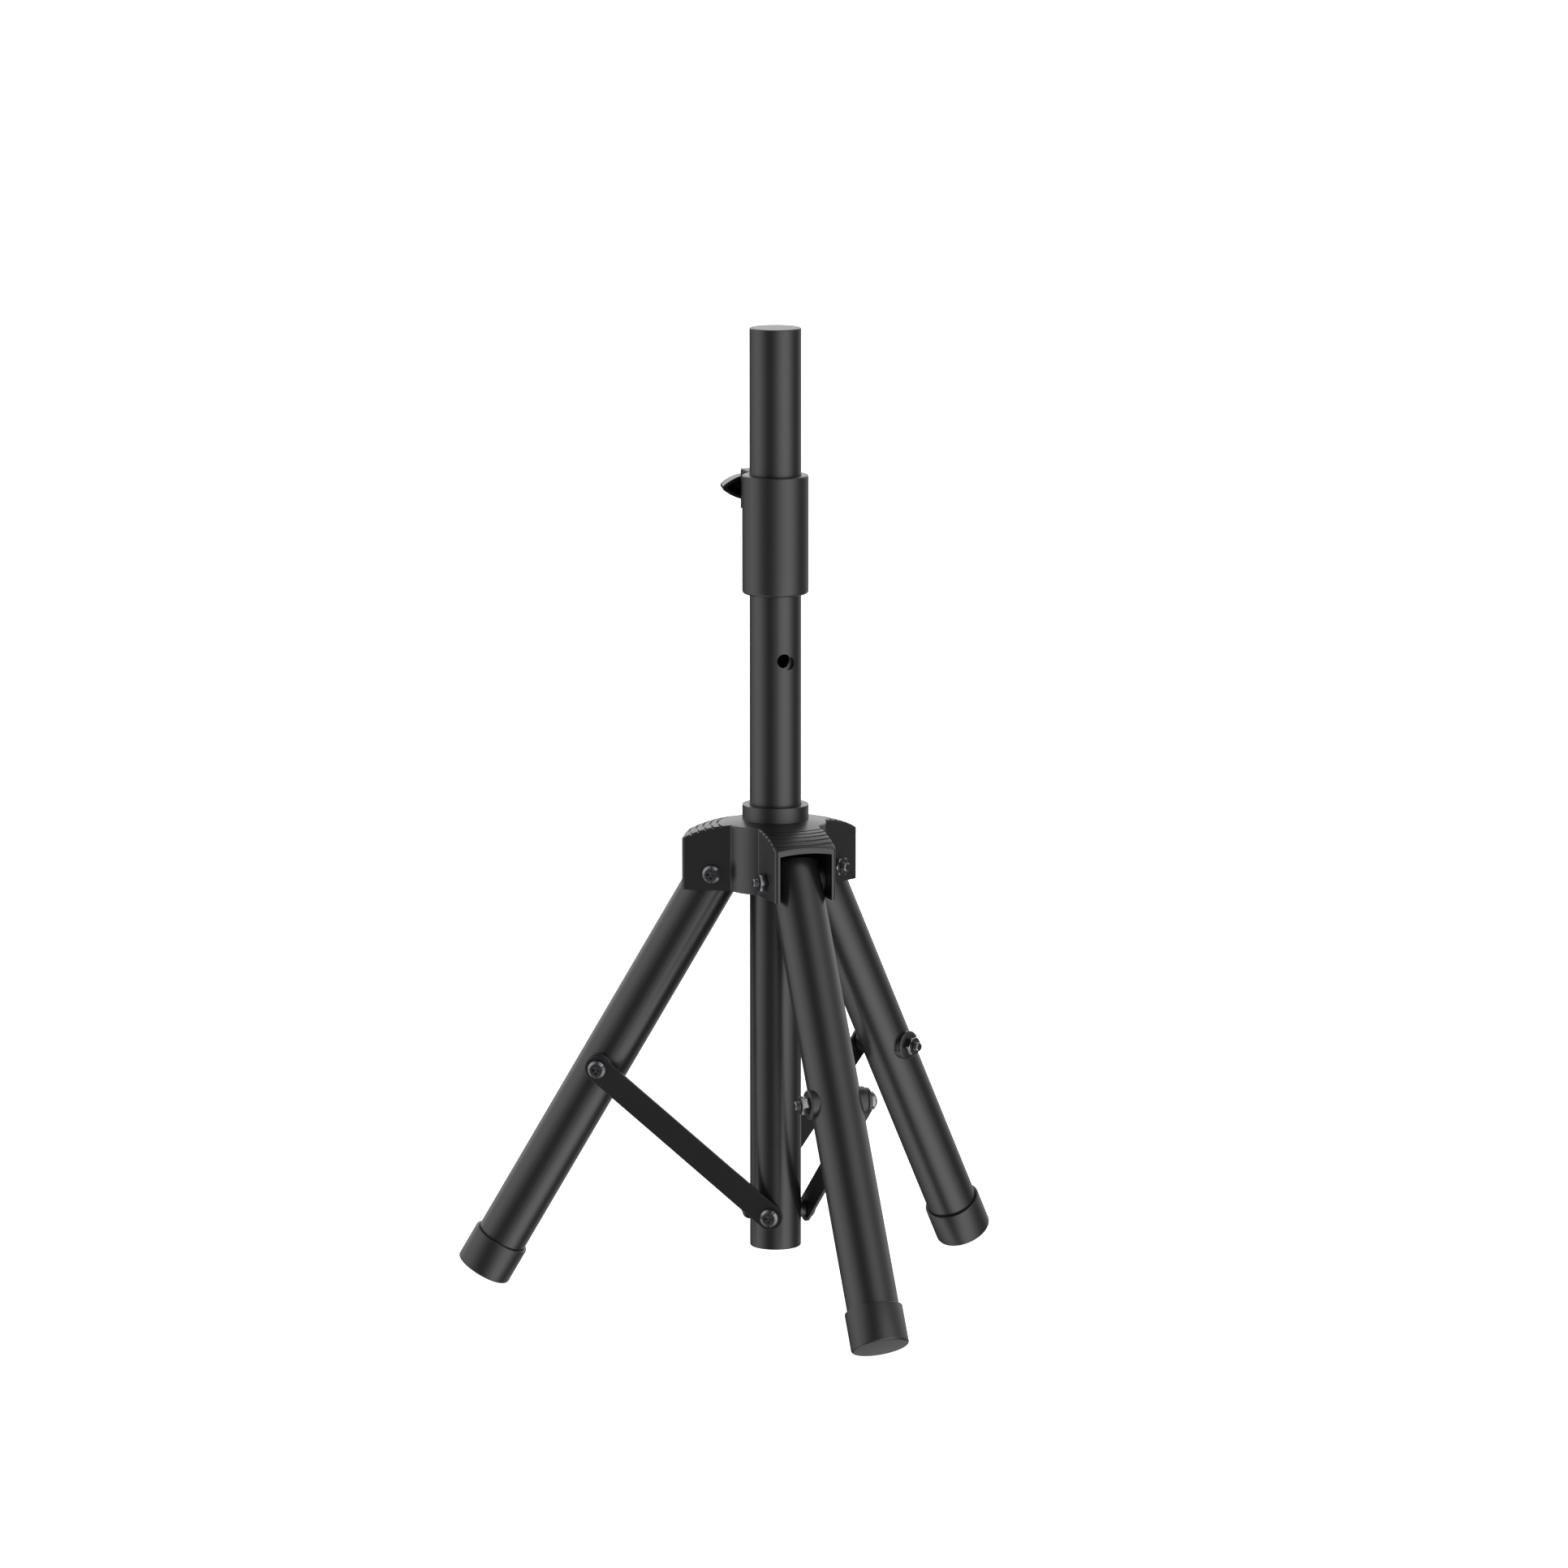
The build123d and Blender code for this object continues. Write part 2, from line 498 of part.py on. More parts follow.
def leg_tube(azimuth):
    plane = leg_plane(azimuth)
    solid = rod(TUBE_RADIUS, -LEG_TOP, LEG_REACH - FOOT_SOLE, plane)
    solid -= rod(TUBE_BORE, -LEG_TOP - 1, LEG_REACH, plane)
    pivot = side_plane(azimuth, LEG_PIVOT_RADIUS, PIVOT_HEIGHT)
    joint = side_plane(azimuth, JOINT_RADIUS, JOINT_HEIGHT)
    solid -= rod(BOLT_RADIUS + PIVOT_FIT, -TUBE_OD, TUBE_OD, pivot)
    solid -= rod(BOLT_RADIUS, -TUBE_OD, TUBE_OD, joint)
    return solid


def pivot_saddles(azimuth):
    """Two round spacers on the sides of the leg at its pivot, inside the hub."""
    pivot = side_plane(azimuth, LEG_PIVOT_RADIUS, PIVOT_HEIGHT)
    reach = TUBE_RADIUS + PIVOT_SADDLE_THICKNESS
    pair = rod(SADDLE_RADIUS, -reach, reach, pivot)
    pair -= rod(TUBE_RADIUS, -2 * TUBE_OD, 2 * TUBE_OD, leg_plane(azimuth))
    return pair - rod(BOLT_RADIUS + PIVOT_FIT, -TUBE_OD, TUBE_OD, pivot)


def leg_top_insert(azimuth):
    plane = leg_plane(azimuth)
    solid = rod(TUBE_BORE, -LEG_TOP, LEG_TOP, plane)
    pivot = side_plane(azimuth, LEG_PIVOT_RADIUS, PIVOT_HEIGHT)
    return solid - rod(BOLT_RADIUS + PIVOT_FIT, -TUBE_OD, TUBE_OD, pivot)


def foot_cap(azimuth):
    plane = leg_plane(azimuth)
    solid = rod(FOOT_OD / 2, LEG_REACH - FOOT_LENGTH, LEG_REACH, plane)
    sole = plane.offset(LEG_REACH)
    rims = [e for e in solid.edges().filter_by(GeomType.CIRCLE)
            if abs(sole.to_local_coords(e.center()).Z) < 0.01]
    solid = fillet(rims, FOOT_EDGE_RADIUS)
    return solid - rod(TUBE_RADIUS, LEG_REACH - FOOT_LENGTH - 1, LEG_REACH - FOOT_SOLE, plane)


def saddle(azimuth, side):
    """A round spacer hollowed to sit on the leg, on one side (+1 strut, -1 nut)."""
    joint = side_plane(azimuth, JOINT_RADIUS, JOINT_HEIGHT)
    outer = side * (TUBE_RADIUS + SADDLE_THICKNESS)
    solid = rod(SADDLE_RADIUS, min(0, outer), max(0, outer), joint)
    solid -= rod(TUBE_RADIUS, -LEG_TOP, LEG_REACH, leg_plane(azimuth))
    return solid - rod(BOLT_RADIUS, -TUBE_OD, TUBE_OD, joint)


def strut_bolt(azimuth):
    joint = side_plane(azimuth, JOINT_RADIUS, JOINT_HEIGHT)
    end = -(TUBE_RADIUS + SADDLE_THICKNESS + NUT_HEIGHT + BOLT_TIP)
    return bolt(joint, STRUT_OUTER + SLIDE_GAP, end)


def strut_nut(azimuth):
    joint = side_plane(azimuth, JOINT_RADIUS, JOINT_HEIGHT)
    return hex_nut(joint, -(TUBE_RADIUS + SADDLE_THICKNESS))


# ---- Struts ----

def strut_bar(azimuth):
    joint = side_plane(azimuth, JOINT_RADIUS, JOINT_HEIGHT)
    foot = side_plane(azimuth, 0, STRUT_PIVOT_HEIGHT)
    end = joint.to_local_coords(foot.origin)
    angle = math.degrees(math.atan2(end.Y, end.X))
    outline = Pos(end.X / 2, end.Y / 2) * Rot(0, 0, angle) * SlotCenterToCenter(STRUT_LENGTH, STRUT_WIDTH)
    outline -= Circle(BOLT_RADIUS + PIVOT_FIT)
    outline -= Pos(end.X, end.Y) * Circle(BOLT_RADIUS)
    return extrude(joint.offset(STRUT_INNER) * outline, STRUT_THICKNESS)


def strut_screw(azimuth):
    return bolt(side_plane(azimuth, 0, STRUT_PIVOT_HEIGHT), STRUT_OUTER, STRUT_INNER)


pieces = {
    "centre_tube": centre_tube(),
    "column_bottom_plug": column_bottom_plug(),
    "clamp_collar": clamp_collar(),
    "collar_insert": threaded_insert(CLAMP_HEIGHT, BOSS_REACH),
    "strut_spacers": strut_spacers(),
    "rivet_nuts": rivet_nuts(),
    "inner_pole": inner_pole(),
    "speaker_spigot": speaker_spigot(),
    "pole_top_cap": pole_top_cap(),
    "pole_end_plug": pole_end_plug(),
    "clamp_pad": clamp_pad(CLAMP_HEIGHT),
    "clamp_knob": knob(CLAMP_HEIGHT, BOSS_REACH),
    "clamp_screw": knob_screw(CLAMP_HEIGHT, BOSS_REACH),
    "hub_housing": hub_housing(),
    "hub_bushing": hub_bushing(),
    "hub_insert": threaded_insert(HUB_LOCK_HEIGHT, HUB_BOSS_REACH),
    "leg_pivot_bolts": leg_pivot_bolts(),
    "leg_pivot_nuts": leg_pivot_nuts(),
    "lock_pad": clamp_pad(HUB_LOCK_HEIGHT),
    "lock_knob": knob(HUB_LOCK_HEIGHT, HUB_BOSS_REACH),
    "lock_screw": knob_screw(HUB_LOCK_HEIGHT, HUB_BOSS_REACH),
}
for number, azimuth in enumerate(LEG_AZIMUTHS, 1):
    pieces[f"leg_tube_{number}"] = leg_tube(azimuth)
    pieces[f"leg_top_insert_{number}"] = leg_top_insert(azimuth)
    pieces[f"pivot_saddles_{number}"] = pivot_saddles(azimuth)
    pieces[f"foot_cap_{number}"] = foot_cap(azimuth)
    pieces[f"strut_saddle_{number}"] = saddle(azimuth, 1)
    pieces[f"nut_saddle_{number}"] = saddle(azimuth, -1)
    pieces[f"strut_bolt_{number}"] = strut_bolt(azimuth)
    pieces[f"strut_nut_{number}"] = strut_nut(azimuth)
    pieces[f"strut_bar_{number}"] = strut_bar(azimuth)
    pieces[f"strut_screw_{number}"] = strut_screw(azimuth)

os.makedirs("parts", exist_ok=True)
for name, solid in pieces.items():
    solid.label = name
    export_step(solid, f"parts/{name}.step")

# The motion's sizes, for whoever sets the joints.
folded_drop = STRUT_JOINT_REACH * math.cos(FOLDED)
folded_radius = LEG_PIVOT_RADIUS + STRUT_JOINT_REACH * math.sin(FOLDED)
folded_height = folded_drop + math.sqrt(STRUT_LENGTH ** 2 - folded_radius ** 2)
open_strut = math.degrees(math.asin(JOINT_RADIUS / STRUT_LENGTH))
folded_strut = math.degrees(math.asin(folded_radius / STRUT_LENGTH))
print("leg pivot", LEG_PIVOT_RADIUS, round(PIVOT_HEIGHT, 4))
print("strut joint", round(JOINT_RADIUS, 4), round(JOINT_HEIGHT, 4))
print("strut pivot on the tube", round(STRUT_PIVOT_HEIGHT, 4))
print("hub travel", round(folded_height - (PIVOT_HEIGHT - STRUT_PIVOT_HEIGHT), 4))
print("leg turns", LEG_ANGLE - FOLDED_LEG_ANGLE)
print("strut turns on the leg", round(LEG_ANGLE + open_strut - FOLDED_LEG_ANGLE - folded_strut, 4))
print("collar", round(COLLAR_BOTTOM, 3), round(COLLAR_TOP, 3), "clamp", CLAMP_HEIGHT)
print("hub", round(HUB_BOTTOM, 3), round(RING_BOTTOM + RING_HEIGHT, 3), "lock", round(HUB_LOCK_HEIGHT, 3))
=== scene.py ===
# %% [markdown]
# A speaker tripod stand, finished for a studio picture.
#
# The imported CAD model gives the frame: where every tube, hub and bolt is, and how
# it moves. This lesson keeps the CAD tubes, which are already exact, gives them
# their real paint, and models again by hand the small pieces whose edges catch
# the light: screws, nuts, saddles, foot caps, struts and knobs.

# %% Load the frame
import bpy
import bmesh
import json
import math
from mathutils import Matrix, Vector


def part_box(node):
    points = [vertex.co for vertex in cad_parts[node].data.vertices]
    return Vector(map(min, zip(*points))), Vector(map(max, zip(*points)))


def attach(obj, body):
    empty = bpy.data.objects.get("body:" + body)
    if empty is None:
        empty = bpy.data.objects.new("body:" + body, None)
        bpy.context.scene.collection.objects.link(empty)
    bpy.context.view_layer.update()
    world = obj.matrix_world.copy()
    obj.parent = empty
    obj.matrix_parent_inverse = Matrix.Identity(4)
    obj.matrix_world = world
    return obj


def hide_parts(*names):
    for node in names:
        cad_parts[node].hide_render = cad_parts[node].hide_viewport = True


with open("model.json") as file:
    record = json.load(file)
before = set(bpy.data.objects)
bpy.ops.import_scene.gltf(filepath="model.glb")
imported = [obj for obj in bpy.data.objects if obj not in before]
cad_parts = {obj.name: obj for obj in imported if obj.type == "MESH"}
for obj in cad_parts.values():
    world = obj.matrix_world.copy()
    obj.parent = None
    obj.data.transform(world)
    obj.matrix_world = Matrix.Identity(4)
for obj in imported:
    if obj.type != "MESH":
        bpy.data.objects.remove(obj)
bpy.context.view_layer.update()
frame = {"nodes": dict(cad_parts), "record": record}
nodes = frame["nodes"]
MM = 0.001

# %% [markdown]
# The stand's black finishes are only readable in a light that is built for them.
# A black satin tube shows hardly any colour of its own: what the eye sees is the
# studio, mirrored softly along the tube. A photographer stands two long soft
# boxes beside the stand and a white sweep behind it. Area lights could do that,
# but each one would need a stand, a shape and a flag. One sky painted as a ring
# of soft boxes is simpler: a ramp round the horizon holds their widths.

# %% Colours
def linear(code):
    """An sRGB hex colour as linear red, green, blue and alpha."""
    values = [int(code[i:i + 2], 16) / 255 for i in (1, 3, 5)]
    low = [v / 12.92 if v <= 0.04045 else ((v + 0.055) / 1.055) ** 2.4 for v in values]
    return (*low, 1.0)


def add(tree, kind, links=(), **settings):
    """Adds one node, sets its sockets and settings, and links sockets into it."""
    node = tree.nodes.new(kind)
    for name, value in settings.items():
        key = name.replace("_", " ").title()
        if key in node.inputs:
            node.inputs[key].default_value = value
        else:
            setattr(node, name, value)
    for source, target in links:
        tree.links.new(source, node.inputs[target])
    return node


print("white paper is", [round(v, 3) for v in linear("#f4f4f3")[:3]])

# %% [markdown]
# The camera is a long lens, far back and a little above, so the legs hardly
# converge. Its place is written in the object's own frame: how far round the
# stand it is, how far back, how high, and how far it tips down.

# %% Camera
VIEW_TURN = math.radians(-19.81)
VIEW_DISTANCE = 5.1986
VIEW_HEIGHT = 1.2492
VIEW_SIDE = 0.0058
VIEW_TIP = math.radians(9.754)
LENS_MM = 178.3
SENSOR_MM = 36.0

camera_data = bpy.data.cameras.new("studio_camera")
camera_data.lens = LENS_MM
camera_data.sensor_width = SENSOR_MM
camera_data.clip_end = 50
camera = bpy.data.objects.new("studio_camera", camera_data)
bpy.context.scene.collection.objects.link(camera)
turn = Matrix.Rotation(VIEW_TURN, 4, "Z")
camera.location = turn @ Vector((VIEW_SIDE, -VIEW_DISTANCE, VIEW_HEIGHT))
camera.rotation_euler = (math.pi / 2 - VIEW_TIP, 0, VIEW_TURN)
bpy.context.scene.camera = camera
print("camera at", [round(v, 3) for v in camera.location])

# %% [markdown]
# The ring has two ramps, one below and one above the horizon, because the boxes
# stand on the floor and the room behind them is dark. Overhead it goes dark too,
# which leaves the tops of rounded edges dark and the sides bright. The camera
# itself sees plain white paper, through the light path's camera switch.

# %% Sky as a ring of soft boxes
scene = bpy.context.scene
scene.view_settings.view_transform = "Standard"
world = bpy.data.worlds.new("studio")
scene.world = world
world.use_nodes = True
sky = world.node_tree
sky.nodes.clear()

# Turn from the camera, in degrees to the right, and brightness there.
RING_LOW = (
    (-180, 0.06), (-145, 0.10), (-115, 0.75), (-88, 1.75), (-68, 1.60), (-46, 0.55),
    (-30, 0.10), (-14, 0.20), (4, 0.95), (22, 2.20), (40, 2.70), (58, 2.45),
    (78, 0.90), (95, 0.12), (112, 0.12), (135, 0.42), (160, 0.55), (180, 0.45),
)
RING_HIGH = (
    (-180, 1.50), (-140, 1.35), (-115, 1.20), (-88, 1.75), (-68, 1.50), (-46, 0.55),
    (-30, 0.12), (-14, 0.20), (4, 0.60), (22, 1.60), (40, 2.20), (58, 2.00),
    (78, 1.00), (95, 0.60), (112, 0.80), (135, 1.20), (160, 1.45), (180, 1.50),
)
BRIGHTEST = 2.7


def ring(stops, direction):
    """A ramp of brightness round the horizon."""
    ramp = add(sky, "ShaderNodeValToRGB", [(direction, "Fac")])
    elements = ramp.color_ramp.elements
    ramp.color_ramp.interpolation = "EASE"
    while len(elements) < len(stops):
        elements.new(0.5)
    for element, (degrees, level) in zip(elements, stops):
        element.position = 0.5 + degrees / 360
        element.color = (*[level / BRIGHTEST] * 3, 1)
    return ramp.outputs["Color"]


way = add(sky, "ShaderNodeTexCoord").outputs["Generated"]
turned = add(sky, "ShaderNodeMapping", [(way, "Vector")])
turned.inputs["Rotation"].default_value = (0, 0, math.pi / 2 - VIEW_TURN)
around = add(sky, "ShaderNodeTexGradient", [(turned.outputs["Vector"], "Vector")],
             gradient_type="RADIAL")
split = add(sky, "ShaderNodeSeparateXYZ", [(way, "Vector")])
above = add(sky, "ShaderNodeMapRange", [(split.outputs["Z"], "Value")])
above.inputs["From Min"].default_value = -0.08
above.inputs["From Max"].default_value = 0.10
low = ring(RING_LOW, around.outputs["Fac"])
high = ring(RING_HIGH, around.outputs["Fac"])
both = add(sky, "ShaderNodeMix", data_type="RGBA")
sky.links.new(above.outputs["Result"], both.inputs["Factor"])
sky.links.new(low, both.inputs["A"])
sky.links.new(high, both.inputs["B"])
overhead = add(sky, "ShaderNodeMapRange", [(split.outputs["Z"], "Value")],
               from_min=0.6, from_max=0.92, to_min=BRIGHTEST, to_max=0.3 * BRIGHTEST)
studio = add(sky, "ShaderNodeBackground",
             [(both.outputs["Result"], "Color"), (overhead.outputs["Result"], "Strength")])
paper = add(sky, "ShaderNodeBackground")
paper.inputs["Color"].default_value = (1, 1, 1, 1)
seen = add(sky, "ShaderNodeLightPath").outputs["Is Camera Ray"]
choice = add(sky, "ShaderNodeMixShader", [(seen, "Fac")])
sky.links.new(studio.outputs["Background"], choice.inputs[1])
sky.links.new(paper.outputs["Background"], choice.inputs[2])
add(sky, "ShaderNodeOutputWorld", [(choice.outputs["Shader"], "Surface")])
print("soft boxes:", len(RING_LOW), "stops round the horizon")

# %% [markdown]
# The floor is a wide sheet of white paper. It is kept out of the mirror
# reflections, because a photographer flags it off too: otherwise it would fill
# the lower half of every tube with an even grey.

# %% Floor
FLOOR_RADIUS = 14
FLOOR_HEIGHT = -0.0006
bpy.ops.object.select_all(action="DESELECT")
bpy.ops.mesh.primitive_circle_add(vertices=96, radius=FLOOR_RADIUS, fill_type="NGON",
                                  location=(0, 0, FLOOR_HEIGHT))
floor = bpy.context.object
floor.name = "paper_floor"
paint = bpy.data.materials.new("white_paper")
paint.use_nodes = True
surface = paint.node_tree.nodes["Principled BSDF"]
surface.inputs["Base Color"].default_value = linear("#f2f2f1")
surface.inputs["Roughness"].default_value = 0.9
surface.inputs["Specular IOR Level"].default_value = 0.0
surface.inputs["Emission Color"].default_value = (1, 1, 1, 1)
surface.inputs["Emission Strength"].default_value = 0.8
floor.data.materials.append(paint)
floor.visible_glossy = False
print("floor radius", round(floor.dimensions.x / 2, 2), "m")

# %% [markdown]
# Powder coat is a dry paint that is baked on. It gives steel tube a skin about
# 0.08 mm thick with a faint orange peel, a few tenths of a millimetre across.
# The skin is an ordinary polymer, so it is a dielectric with an IOR near 1.5,
# and its roughness is what spreads each soft box into a soft band.

# %% Powder coat
CLOUD_MM = 40


def finish(name, colour, lighter, roughness, ior, grain_mm, relief_mm, mottle):
    """A dark moulded or painted surface with a fine grain in gloss and relief."""
    material = bpy.data.materials.new(name)
    material.use_nodes = True
    tree = material.node_tree
    shader = tree.nodes["Principled BSDF"]
    shader.inputs["IOR"].default_value = ior
    place = add(tree, "ShaderNodeTexCoord").outputs["Object"]
    cloud = add(tree, "ShaderNodeTexNoise", [(place, "Vector")],
                scale=1 / (CLOUD_MM * MM), detail=2.0)
    shade = add(tree, "ShaderNodeMix", [(cloud.outputs["Fac"], "Factor")], data_type="RGBA")
    shade.inputs["A"].default_value = linear(colour)
    shade.inputs["B"].default_value = linear(lighter)
    tree.links.new(shade.outputs["Result"], shader.inputs["Base Color"])
    grain = add(tree, "ShaderNodeTexNoise", [(place, "Vector")],
                scale=1 / (grain_mm * MM), detail=3.0)
    gloss = add(tree, "ShaderNodeMapRange", [(grain.outputs["Fac"], "Value")])
    gloss.inputs["To Min"].default_value = roughness - mottle
    gloss.inputs["To Max"].default_value = roughness + mottle
    tree.links.new(gloss.outputs["Result"], shader.inputs["Roughness"])
    bump = add(tree, "ShaderNodeBump", [(grain.outputs["Fac"], "Height")], distance=relief_mm * MM)
    tree.links.new(bump.outputs["Normal"], shader.inputs["Normal"])
    return material


powder_coat = finish("satin_black_powder_coat", "#141415", "#19191a", 0.30, 1.5, 0.9, 0.004, 0.03)
print("made", powder_coat.name)

# %% [markdown]
# The hub, the collar and the knobs are moulded in glass-filled nylon. It comes
# out of the tool with a fine spark-eroded grain, duller than the paint.

# %% Moulded nylon and rubber
nylon = finish("moulded_black_nylon", "#141415", "#19191a", 0.32, 1.5, 0.5, 0.006, 0.04)
rubber = finish("moulded_foot_rubber", "#141415", "#19191a", 0.34, 1.5, 0.7, 0.008, 0.04)
print("made", nylon.name, rubber.name)

# %% [markdown]
# The fasteners are zinc plated and then passivated black. It is metal, so it
# mirrors the studio without any colour of its own, dark, and sharper than paint.

# %% Black plated steel, brass and plain zinc
POLISH_SPREAD = 0.05


def metal(name, colour, roughness, grain_mm):
    """A plated metal whose polish varies a little."""
    material = bpy.data.materials.new(name)
    material.use_nodes = True
    tree = material.node_tree
    shader = tree.nodes["Principled BSDF"]
    shader.inputs["Base Color"].default_value = linear(colour)
    shader.inputs["Metallic"].default_value = 1.0
    place = add(tree, "ShaderNodeTexCoord").outputs["Object"]
    grain = add(tree, "ShaderNodeTexNoise", [(place, "Vector")],
                scale=1 / (grain_mm * MM), detail=2.0)
    gloss = add(tree, "ShaderNodeMapRange", [(grain.outputs["Fac"], "Value")])
    gloss.inputs["To Min"].default_value = roughness - POLISH_SPREAD
    gloss.inputs["To Max"].default_value = roughness + POLISH_SPREAD
    tree.links.new(gloss.outputs["Result"], shader.inputs["Roughness"])
    return material


black_zinc = metal("black_passivated_zinc", "#747478", 0.2, 1.2)
brass = metal("turned_brass", "#b08d4a", 0.3, 0.8)
clear_zinc = metal("clear_zinc", "#a8abad", 0.3, 0.8)
print("made", black_zinc.name, brass.name, clear_zinc.name)

# %% [markdown]
# Each CAD node takes the finish of the material slot that the record gives it.

# %% Finishes on the CAD nodes
FINISHES = {
    "black_powder_coat": powder_coat,
    "black_plastic": nylon,
    "black_rubber": rubber,
    "black_zinc_steel": black_zinc,
    "brass": brass,
    "zinc_steel": clear_zinc,
}
for part in frame["record"]["subparts"]:
    node = nodes[part["node"]]
    for slot in node.material_slots:
        slot.material = FINISHES[part["material_slot"]]

# %% [markdown]
# Small pieces are modelled on a bench first: at the origin, standing along +Z,
# which is the bolt's direction. Two helpers do what the hand does in edit mode.
# One selects faces or edges by their place, the other carries a finished piece
# from the bench to its joint. Sizes on the bench are the fasteners' own: M6.

# %% Bench helpers
def pick(kind, test):
    """In edit mode, selects the faces or edges whose middle passes the test."""
    bpy.ops.mesh.select_mode(type=kind)
    bpy.ops.mesh.select_all(action="DESELECT")
    mesh = bmesh.from_edit_mesh(bpy.context.object.data)
    items = mesh.faces if kind == "FACE" else mesh.edges
    for item in items:
        middle = sum((v.co for v in item.verts), Vector()) / len(item.verts) / MM
        item.select_set(bool(test(middle, item)))
    bmesh.update_edit_mesh(bpy.context.object.data)


def off_axis(vertex):
    """How far a vertex is from the bench's axis, in millimetres."""
    return math.hypot(vertex.co.x, vertex.co.y) / MM


def start(add_primitive, name, **settings):
    """Adds one primitive to an empty selection and opens it in edit mode."""
    bpy.ops.object.select_all(action="DESELECT")
    add_primitive(**settings)
    bpy.ops.object.transform_apply(location=True, rotation=True, scale=True)
    bpy.context.object.name = name
    bpy.ops.object.mode_set(mode="EDIT")


def stop(angle=30):
    """Closes edit mode with normals outward and smooth shading under an angle."""
    bpy.ops.mesh.select_all(action="SELECT")
    bpy.ops.mesh.normals_make_consistent(inside=False)
    bpy.ops.object.mode_set(mode="OBJECT")
    bpy.ops.object.shade_smooth_by_angle(angle=math.radians(angle))
    return bpy.context.object


def raise_face(height):
    """Extrudes the selected faces along the bench's axis, in millimetres."""
    bpy.ops.mesh.extrude_region_move(TRANSFORM_OT_translate={"value": (0, 0, height * MM)})


def apply(piece, kind, **settings):
    """Adds one modifier to a piece and applies it."""
    bpy.ops.object.select_all(action="DESELECT")
    piece.select_set(True)
    bpy.context.view_layer.objects.active = piece
    modifier = piece.modifiers.new(kind.lower(), kind)
    for name, value in settings.items():
        setattr(modifier, name, value)
    bpy.ops.object.modifier_apply(modifier=modifier.name)


def cut(piece, tool, operation="DIFFERENCE"):
    """Cuts a piece with a tool solid, then throws the tool away."""
    apply(piece, "BOOLEAN", object=tool, operation=operation, solver="EXACT")
    bpy.data.objects.remove(tool)


print("bench ready")

# %% [markdown]
# The joints' places are in the record: each hinge has a point and an axis. A
# leg's side plane has its x axis out along the leg's azimuth, y down and z along
# the hinge. So a piece from the bench needs only one matrix and one apply.

# %% From the bench to a joint
LEG_AZIMUTHS = {1: 270, 2: 30, 3: 150}
LEG_ANGLE = math.radians(30)
hinges = {joint["name"]: joint for joint in frame["record"]["behaviour"]["joints"]}


def side_matrix(number, point):
    """The matrix of a leg's side plane at a point in metres."""
    azimuth = math.radians(LEG_AZIMUTHS[number])
    out = Vector((math.cos(azimuth), math.sin(azimuth), 0))
    hinge = Vector((-math.sin(azimuth), math.cos(azimuth), 0))
    turned = Matrix((out, -Vector((0, 0, 1)), hinge)).transposed().to_4x4()
    return Matrix.Translation(point) @ turned


def place(piece, name, matrix, material, body, replaced):
    """Copies a bench piece into the stand, gives it its finish and its body."""
    copy = piece.copy()
    copy.data = piece.data.copy()
    copy.name = name
    bpy.context.scene.collection.objects.link(copy)
    copy.matrix_world = matrix
    bpy.ops.object.select_all(action="DESELECT")
    copy.select_set(True)
    bpy.context.view_layer.objects.active = copy
    bpy.ops.object.transform_apply(location=True, rotation=True, scale=True)
    copy.data.materials.clear()
    copy.data.materials.append(material)
    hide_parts(*replaced)
    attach(copy, body)
    return copy


def point(name):
    """Where a joint's hinge is, in metres."""
    return Vector(hinges[name]["pos_m"])


bench = []
print("hinge of leg 1 at", [round(v, 4) for v in point("leg_1_fold")])

# %% [markdown]
# A pan-head screw is a turned disc with a broad chamfer and a cross recess that
# a punch leaves. The chamfer is what catches both side lights, so it is real and
# flat, at 45 degrees: a round one would show the lights as a thin line only. The
# recess is two crossed wedges, wider at the mouth. A boolean cuts it, as the
# punch does: one tool, one stroke.

# %% Pan-head screw
HEAD_RADIUS = 6.1
HEAD_HEIGHT = 4.3
HEAD_CHAMFER = 1.7
RECESS_SPAN = 8.4
RECESS_WIDTH = 1.6
RECESS_TOOL = 3.4
SHANK_RADIUS = 3.0
THREAD_PITCH = 1.0
THREAD_ROOT = 0.93
THREAD_END = 0.6


def cross_tool():
    """Two crossed wedges, narrower at the bottom, that punch the recess."""
    wedges = []
    for turned in (0, math.pi / 2):
        start(bpy.ops.mesh.primitive_cube_add, "wedge", size=1,
              location=(0, 0, HEAD_HEIGHT * MM))
        bpy.ops.transform.resize(value=(RECESS_SPAN * MM, RECESS_WIDTH * MM, RECESS_TOOL * MM))
        pick("FACE", lambda middle, face: face.normal.z < -0.9)
        bpy.ops.transform.resize(value=(0.45, 0.7, 1))
        wedge = stop()
        wedge.rotation_euler.z = turned
        bpy.ops.object.transform_apply(location=False, rotation=True, scale=False)
        wedges.append(wedge)
    cut(wedges[0], wedges[1], "UNION")
    return wedges[0]


